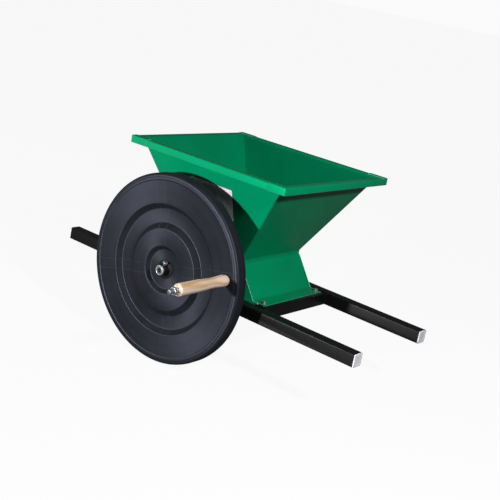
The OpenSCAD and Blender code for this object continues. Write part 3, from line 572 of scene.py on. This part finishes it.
def makeWelds():
    s = weldShape
    bm = bmesh.new()
    for node in ("left_cross_tube", "right_cross_tube"):
        low, high = boxOf(node)
        for y in (low.y, high.y):
            addBead(bm, at(low.x + s["inset"], y, high.z), at(high.x - s["inset"], y, high.z))
            for x in (low.x, high.x):
                addBead(bm, at(x, y, low.z + s["lift"]), at(x, y, high.z - s["inset"]))
    bmesh.ops.recalc_face_normals(bm, faces=bm.faces)
    return settle(bm, "tube_welds", "near_rail", stands=False, smooth=60)


makeCaps()
makeWelds()
print("caps and welds made")


# Flywheel: two moulded shells, spun from their section

wheelShape = {
    # heights over the seam between the shells
    "flat": 19.0,
    "floor": 6.0,
    "hubFloor": 8.0,
    # radii
    "grooveOuter": 178.6,
    "floorOuter": 164.8,
    "floorInner": 126.9,
    "grooveInner": 111.8,
    "recess": 64.5,
    "recessFloor": 55.0,
    "boss": 50.0,
    "bore": 16.2,
    # wall, and how far the inside of a sloping wall is set off
    "wall": 3.0,
    "slopeWall": 1.35,
    # roundings
    "seamEase": 0.7,
    "rimRound": 8.0,
    "corner": 1.6,
    # raised ring near the rim, placed inwards from it
    "bead": 1.2,
    "beadOuter": 11.0,
    "beadInner": 19.0,
    "beadSlope": 1.0,
    "beadRound": 0.8,
    "beadFoot": 0.4,
    # paired ridges across the face
    "markTurn": 1.4,  # degrees past the handle
    "markGap": 28.0,
    "markWidth": 2.2,
    "markTop": 0.6,  # share of the width that is left at the top
    "markHeight": 0.7,
    "markSunk": 0.5,
    "markEnd": 3.0,
    # the paired ridges are painted paler: a painted highlight along them
    "markPaintedHighlight": 0.16,
    # the small corners of the face are painted faintly paler: painted highlight lines along them
    "wearAndHighlight": 0.03,
    "steps": 160,
}


def wheelFace(radius):
    # height of the face over the seam, from the rim in to the hub, as radius, height, rounding
    s = wheelShape
    outer = radius - s["beadOuter"]
    inner = radius - s["beadInner"]
    slope = s["beadSlope"]
    corner = s["corner"]
    return [
        (radius - s["seamEase"], 0.0, 0),
        (radius, s["seamEase"], 0),
        (radius, s["flat"], s["rimRound"]),
        (outer + slope, s["flat"], s["beadFoot"]),
        (outer - slope, s["flat"] + s["bead"], s["beadRound"]),
        (inner + slope, s["flat"] + s["bead"], s["beadRound"]),
        (inner - slope, s["flat"], s["beadFoot"]),
        (s["grooveOuter"], s["flat"], corner),
        (s["floorOuter"], s["floor"], corner),
        (s["floorInner"], s["floor"], corner),
        (s["grooveInner"], s["flat"], corner),
        (s["recess"], s["flat"], corner),
        (s["recessFloor"], s["hubFloor"], corner),
        (s["bore"], s["hubFloor"], 0),
    ]


def wheelInside(radius):
    # the inner side of the wall, from the hub back out to the rim
    s = wheelShape
    thin = s["slopeWall"]
    return [
        (s["bore"], 0.0, 0),
        (s["boss"], 0.0, 0),
        (s["boss"], s["hubFloor"] - s["wall"], 0),
        (s["recessFloor"] + thin, s["hubFloor"] - s["wall"], 0),
        (s["recess"] + thin, s["flat"] - s["wall"], 0),
        (s["grooveInner"] - thin, s["flat"] - s["wall"], 0),
        (s["floorInner"] - thin, s["floor"] - s["wall"], 0),
        (s["floorOuter"] + thin, s["floor"] - s["wall"], 0),
        (s["grooveOuter"] + thin, s["flat"] - s["wall"], 0),
        (radius - s["beadOuter"], s["flat"] - s["wall"], 0),
        (radius - s["wall"], s["flat"] - s["rimRound"], 0),
        (radius - s["wall"], 0.0, 0),
    ]


def addMarks(bm, centre, radius):
    # faint paired ridges across the face, four times round, one pair beside the handle
    s = wheelShape
    low, high = boxOf("handle_spindle")
    handle = (low + high) / 2 - centre
    start = math.degrees(math.atan2(handle.z, handle.x)) + s["markTurn"]
    # from the inner foot of the raised ring to the edge of the hub recess
    path = [(r, u) for r, u, rounding in wheelFace(radius)[6:12]]
    path[-1] = (s["recess"] + s["markEnd"], s["flat"])
    path[0] = (path[0][0] - s["beadSlope"], s["flat"])
    before = set(bm.verts)
    half = s["markWidth"] / 2
    top = half * s["markTop"]
    for side in (-1, 1):
        middle = side * s["markGap"] / 2
        section = [(-half, -s["markSunk"]), (half, -s["markSunk"]), (top, s["markHeight"]),
                   (-top, s["markHeight"])]
        r, u = path[0]
        face = bm.faces.new([bm.verts.new(at(centre.x + r, centre.y - u - h, centre.z + middle + w))
                             for w, h in section])
        first = face
        for nextR, nextU in path[1:]:
            face = drawOn(bm, face, at(nextR - r, u - nextU, 0), closes=face is first)
            r, u = nextR, nextU
    new = [v for v in bm.verts if v not in before]
    faces = list(dict.fromkeys(f for v in new for f in v.link_faces))
    # the ridges are painted paler here: a painted highlight along them
    edgeWearAndHighlight = edgeWearAndHighlightLayer(bm)
    for face in faces:
        face[edgeWearAndHighlight] = s["markPaintedHighlight"]
    bmesh.ops.recalc_face_normals(bm, faces=faces)
    for turn in (90, 180, 270):
        copy = bmesh.ops.duplicate(bm, geom=faces)["geom"]
        bmesh.ops.rotate(bm, verts=vertsOf(copy), cent=centre * mm,
                         matrix=Matrix.Rotation(math.radians(-start - turn), 3, "Y"))
    bmesh.ops.rotate(bm, verts=new, cent=centre * mm, matrix=Matrix.Rotation(math.radians(-start), 3, "Y"))


def makeShell(node, towards):
    low, high = boxOf(node)
    shaftLow, shaftHigh = boxOf("drive_shaft")
    seam = high.y if towards > 0 else low.y
    radius = (high.z - low.z) / 2
    centre = Vector(((shaftLow.x + shaftHigh.x) / 2, seam, (shaftLow.z + shaftHigh.z) / 2))
    outline = [(r, towards * u, c) for r, u, c in wheelFace(radius) + wheelInside(radius)]
    bm = spinOutline(outline, centre, wheelShape["steps"], wearAndHighlight=wheelShape["wearAndHighlight"])
    if towards > 0:
        addMarks(bm, centre, radius)
    return settle(bm, node + "_moulded", node, smooth=28)


makeShell("flywheel_front_shell", 1)
makeShell("flywheel_back_shell", -1)
print("flywheel shells made")


# Hub: flange with its sleeve on the shaft

hubShape = {"bore": 10.05, "boreEase": 0.6, "sleeve": 16.0, "disc": 2.0, "ease": 0.8, "fillet": 1.6,
            "steps": 96}


def makeHub():
    s = hubShape
    low, high = boxOf("hub_flange")
    seam = boxOf("flywheel_front_shell")[1].y
    centre = Vector(((low.x + high.x) / 2, seam, (low.z + high.z) / 2))
    disc = (high.z - low.z) / 2
    front = seam - low.y
    back = seam - high.y
    floor = wheelShape["hubFloor"]
    outline = [
        (s["bore"], front, s["boreEase"]), (s["sleeve"], front, s["ease"]),
        (s["sleeve"], floor + s["disc"], s["fillet"]), (disc, floor + s["disc"], s["ease"]),
        (disc, floor, 0), (s["sleeve"], floor, 0),
        (s["sleeve"], back, s["ease"]), (s["bore"], back, s["boreEase"]),
    ]
    return settle(spinOutline(outline, centre, s["steps"]), "hub_flange_turned", "hub_flange")


# Black plug that closes the hollow end of the shaft: a dark disc that stands in for painted shade in the bore

shadePlugShape = {"radius": 6.9, "depth": 6.8, "height": 1.6, "middle": 0.96, "round": 0.8, "vent": 0.8,
             "steps": 48}


def makeShaftShadePlug():
    s = shadePlugShape
    low, high = boxOf("drive_shaft")
    centre = Vector(((low.x + high.x) / 2, low.y + s["depth"], (low.z + high.z) / 2))
    outline = [
        (s["vent"], 0.0, 0), (s["vent"], s["middle"], 0),
        (s["radius"], s["height"], s["round"]), (s["radius"], 0.0, 0),
    ]
    bm = spinOutline(outline, centre, s["steps"])
    # the plug takes the flange's black paint, so the bore's end shows as painted shade
    return settle(bm, "shaft_end_shade_plug", "hub_flange", stands=False)


# Grip: turned wood, loose on its spindle

gripShape = {
    # share of the length from the wheel out, share of the largest radius
    "stations": [(0.0, 0.86), (0.06, 0.96), (0.28, 0.84), (0.62, 0.98), (0.95, 1.0), (1.0, 0.76)],
    "buttRound": 1.5,
    "curve": 8,
    "bore": 6.1,
    "steps": 64,
}


def makeGrip():
    s = gripShape
    low, high = boxOf("handle_grip")
    centre = Vector(((low.x + high.x) / 2, high.y, (low.z + high.z) / 2))
    length = high.y - low.y
    largest = (high.x - low.x) / 2
    outline = [(s["bore"], 0.0, 0), (largest * s["stations"][0][1], 0.0, s["buttRound"])]
    for (t0, r0), (t1, r1) in zip(s["stations"], s["stations"][1:]):
        for i in range(1, s["curve"] + 1):
            t = i / s["curve"]
            blend = (1 - math.cos(math.pi * t)) / 2
            outline.append((largest * (r0 + (r1 - r0) * blend), length * (t0 + (t1 - t0) * t), 0))
    outline.append((s["bore"], length, 0))
    return settle(spinOutline(outline, centre, s["steps"]), "handle_grip_turned", "handle_grip")


makeHub()
makeShaftShadePlug()
makeGrip()
print("hub and grip made")


# Crushing rollers: ribbed castings

rollerShape = {
    "core": 41.0,
    "ribs": 10,
    # one rib from gap to gap: degrees, share of its height
    "section": [(-18.0, 0.0), (-7.8, 0.0), (-5.2, 0.72), (0.0, 1.0), (5.2, 0.72), (7.8, 0.0), (18.0, 0.0)],
    "ribRound": 1.6,
    "ease": 1.5,
}


def makeRoller(node, shaft):
    s = rollerShape
    low, high = boxOf(node)
    shaftLow, shaftHigh = boxOf(shaft)
    centre = Vector(((shaftLow.x + shaftHigh.x) / 2, low.y, (shaftLow.z + shaftHigh.z) / 2))
    tall = (high.x - low.x) / 2 - s["core"]
    bm = bmesh.new()
    verts = []
    for angle, share in s["section"]:
        reach = s["core"] + tall * share
        a = math.radians(angle)
        verts.append(bm.verts.new(at(centre.x + reach * math.cos(a), low.y, centre.z + reach * math.sin(a))))
    for pair in zip(verts, verts[1:]):
        bm.edges.new(pair)
    # only the three points of the rib's back are rounded
    bmesh.ops.bevel(bm, geom=verts[2:5], offset=s["ribRound"] * mm, segments=2, profile=0.5,
                    affect="VERTICES", material=-1)
    bmesh.ops.spin(bm, geom=bm.verts[:] + bm.edges[:], cent=centre * mm, axis=(0, 1, 0),
                   angle=2 * math.pi, steps=s["ribs"], use_duplicate=True)
    ringGap = 0.05 * mm  # the ends of neighbouring ribs meet within this
    bmesh.ops.remove_doubles(bm, verts=bm.verts, dist=ringGap)
    end = bmesh.ops.contextual_create(bm, geom=bm.edges[:])["faces"]
    made = bmesh.ops.extrude_face_region(bm, geom=end, use_keep_orig=True)
    bmesh.ops.translate(bm, verts=vertsOf(made["geom"]), vec=at(0, high.y - low.y, 0))
    bmesh.ops.recalc_face_normals(bm, faces=bm.faces)
    easeEdges(bm, s["ease"], segments=2, angle=60)
    return settle(bm, node + "_cast", node)


makeRoller("drive_roller", "drive_shaft")
makeRoller("driven_roller", "driven_shaft")
print("rollers made")


# Everything else keeps its solid, with the edges eased by these widths

easing = {
    "near_rail": 0.4,
    "far_rail": 0.4,
    "left_cross_tube": 0.4,
    "right_cross_tube": 0.4,
    "near_side_plate": 0.4,
    "far_side_plate": 0.4,
    "gear_guard": 1.2,
    "collar_bolts": 0.7,
    "collar_nuts": 0.6,
    "foot_bolts": 0.8,
    "foot_washers": 0.4,
    "foot_nuts": 0.7,
    "near_bushes": 0.6,
    "far_bushes": 0.6,
    "bush_screws": 0.6,
    "guard_screws": 0.6,
    "shell_screws": 0.6,
    "drive_shaft": 0.9,
    "driven_shaft": 0.9,
    "drive_gear": 0.6,
    "driven_gear": 0.6,
    "drive_circlips": 0.25,
    "driven_circlips": 0.25,
    "hub_back_plate": 0.8,
    "hub_bolts": 0.7,
    "hub_set_bolt": 0.8,
    "shaft_lock_ring": 0.8,
    "handle_spindle": 1.0,
    "spindle_washers": 0.4,
    "spindle_nuts": 1.0,
}
paintedHighlightCutEdges = {"near_side_plate": 0.9, "far_side_plate": 0.9}  # sheets whose cut edges are painted pale all along: a painted highlight of the edges catching the light
for node, width in easing.items():
    easedCopy(node, width, paintedHighlightCutEdges.get(node, lightWearAndHighlight))
print("edges eased on", len(easing), "nodes")


# Floor, light and camera

studio = {
    "floor": -187.0,
    "floorReach": 40000.0,
    "white": 0.93,  # share of the seen floor that is plain white, the rest takes shadows
    "backdrop": 0.96,
    "paper": ("#303030", "#f4f4f4"),  # as it bounces light, as it is seen
    "mirrored": 0.08,  # how bright reflections show the floor and backdrop
    "ambient": 0.05,
    "lamps": [
        # name, direction it shines from, distance, size, level
        ("keyLamp", (-0.13, -1.0, 0.07), 3600.0, 140.0, 0.95),
        ("sideLamp", (0.78, -0.32, 0.54), 2400.0, 160.0, 0.66),
        ("fillLamp", (-0.7, -0.7, 0.0), 2600.0, 1700.0, 0.14),
    ],
    "suns": [
        # name, direction it shines from, level
        ("backSun", (-0.2, 0.97, 0.02), 0.4),
        ("leftSun", (-0.96, 0.2, 0.02), 0.35),
    ],
    "aim": (0.0, -100.0, 130.0),
    "sunAngle": 2.0,
    "sunDistance": 3000.0,
}
cameraView = {
    "place": (1605.1, -2184.5, 892.8),
    "azimuth": 35.95,
    "elevation": 15.97,
    "roll": 10.86,
    "lens": 70.91,
    "sensor": 36.0,
}


def seenLight(tree):
    # where the backdrop shows: full for the camera, dim in reflections, none for bounced light
    path = addNode(tree, "LightPath")
    direct = addNode(tree, "Math", {0: path.outputs["Is Camera Ray"], 1: path.outputs["Is Transmission Ray"]},
                     operation="MAXIMUM")
    glossy = path.outputs["Is Glossy Ray"]
    seen = addNode(tree, "Math", {0: direct, 1: glossy}, operation="MAXIMUM")
    strength = addNode(tree, "Math", {0: glossy, 1: studio["mirrored"], 2: direct}, operation="MULTIPLY_ADD")
    return seen, strength


def makeFloor():
    bm = bmesh.new()
    bmesh.ops.create_grid(bm, x_segments=2, y_segments=2, size=studio["floorReach"] * mm)
    bmesh.ops.translate(bm, verts=bm.verts, vec=at(0, 0, studio["floor"]))
    mesh = bpy.data.meshes.new("floor")
    bm.to_mesh(mesh)
    bm.free()
    floor = bpy.data.objects.new("floor", mesh)
    bpy.context.scene.collection.objects.link(floor)
    material = bpy.data.materials.new("paper_backdrop_white")
    material.use_nodes = True
    tree = material.node_tree
    tree.nodes.clear()
    seen, strength = seenLight(tree)
    shown = addNode(tree, "Mix", {0: seen, 6: linear(studio["paper"][0]), 7: linear(studio["paper"][1])},
                    data_type="RGBA")
    paper = addNode(tree, "BsdfDiffuse", {"Color": shown.outputs[2]})
    glow = addNode(tree, "Emission", {"Color": (1, 1, 1, 1), "Strength": strength})
    share = addNode(tree, "Math", {0: seen, 1: studio["white"]}, operation="MULTIPLY")
    mixed = addNode(tree, "MixShader", {0: share, 1: paper, 2: glow})
    addNode(tree, "OutputMaterial", {"Surface": mixed})
    mesh.materials.append(material)


def makeWorld():
    world = bpy.data.worlds.new("studio")
    bpy.context.scene.world = world
    world.use_nodes = True
    tree = world.node_tree
    tree.nodes.clear()
    seen, strength = seenLight(tree)
    dim = addNode(tree, "Background", {"Color": (1, 1, 1, 1), "Strength": studio["ambient"]})
    pale = addNode(tree, "Background", {"Color": [studio["backdrop"]] * 3 + [1], "Strength": strength})
    mixed = addNode(tree, "MixShader", {0: seen, 1: dim, 2: pale})
    addNode(tree, "OutputWorld", {"Surface": mixed})


def hangLamp(lamp, direction, distance):
    holder = bpy.data.objects.new(lamp.name, lamp)
    bpy.context.scene.collection.objects.link(holder)
    towards = Vector(direction).normalized()
    holder.location = (Vector(studio["aim"]) + towards * distance) * mm
    holder.rotation_mode = "QUATERNION"
    holder.rotation_quaternion = towards.to_track_quat("Z", "Y")
    holder.visible_camera = False
    return holder


def makeLamps():
    # level 1 shows a facing colour as written
    for name, direction, distance, size, level in studio["lamps"]:
        lamp = bpy.data.lights.new(name, "AREA")
        lamp.size = size * mm
        lamp.energy = level * (math.pi * distance * mm) ** 2
        hangLamp(lamp, direction, distance)
    for name, direction, level in studio["suns"]:
        sun = bpy.data.lights.new(name, "SUN")
        sun.angle = math.radians(studio["sunAngle"])
        sun.energy = level * math.pi
        holder = hangLamp(sun, direction, studio["sunDistance"])
        holder.visible_glossy = False  # so low a sun would glare along every flat top


def makeCamera():
    v = cameraView
    data = bpy.data.cameras.new("photoCamera")
    data.lens = v["lens"]
    data.sensor_width = v["sensor"]
    camera = bpy.data.objects.new("photoCamera", data)
    bpy.context.scene.collection.objects.link(camera)
    a = math.radians(v["azimuth"])
    e = math.radians(v["elevation"])
    back = Vector((math.sin(a) * math.cos(e), -math.cos(a) * math.cos(e), math.sin(e)))
    camera.location = Vector(v["place"]) * mm
    camera.rotation_mode = "QUATERNION"
    level = (-back).to_track_quat("-Z", "Y")
    camera.rotation_quaternion = level @ Quaternion((0, 0, 1), math.radians(v["roll"]))
    bpy.context.scene.camera = camera


makeFloor()
makeWorld()
makeLamps()
makeCamera()
bpy.context.scene.view_settings.view_transform = "Standard"
print("stage, lamps and camera set")
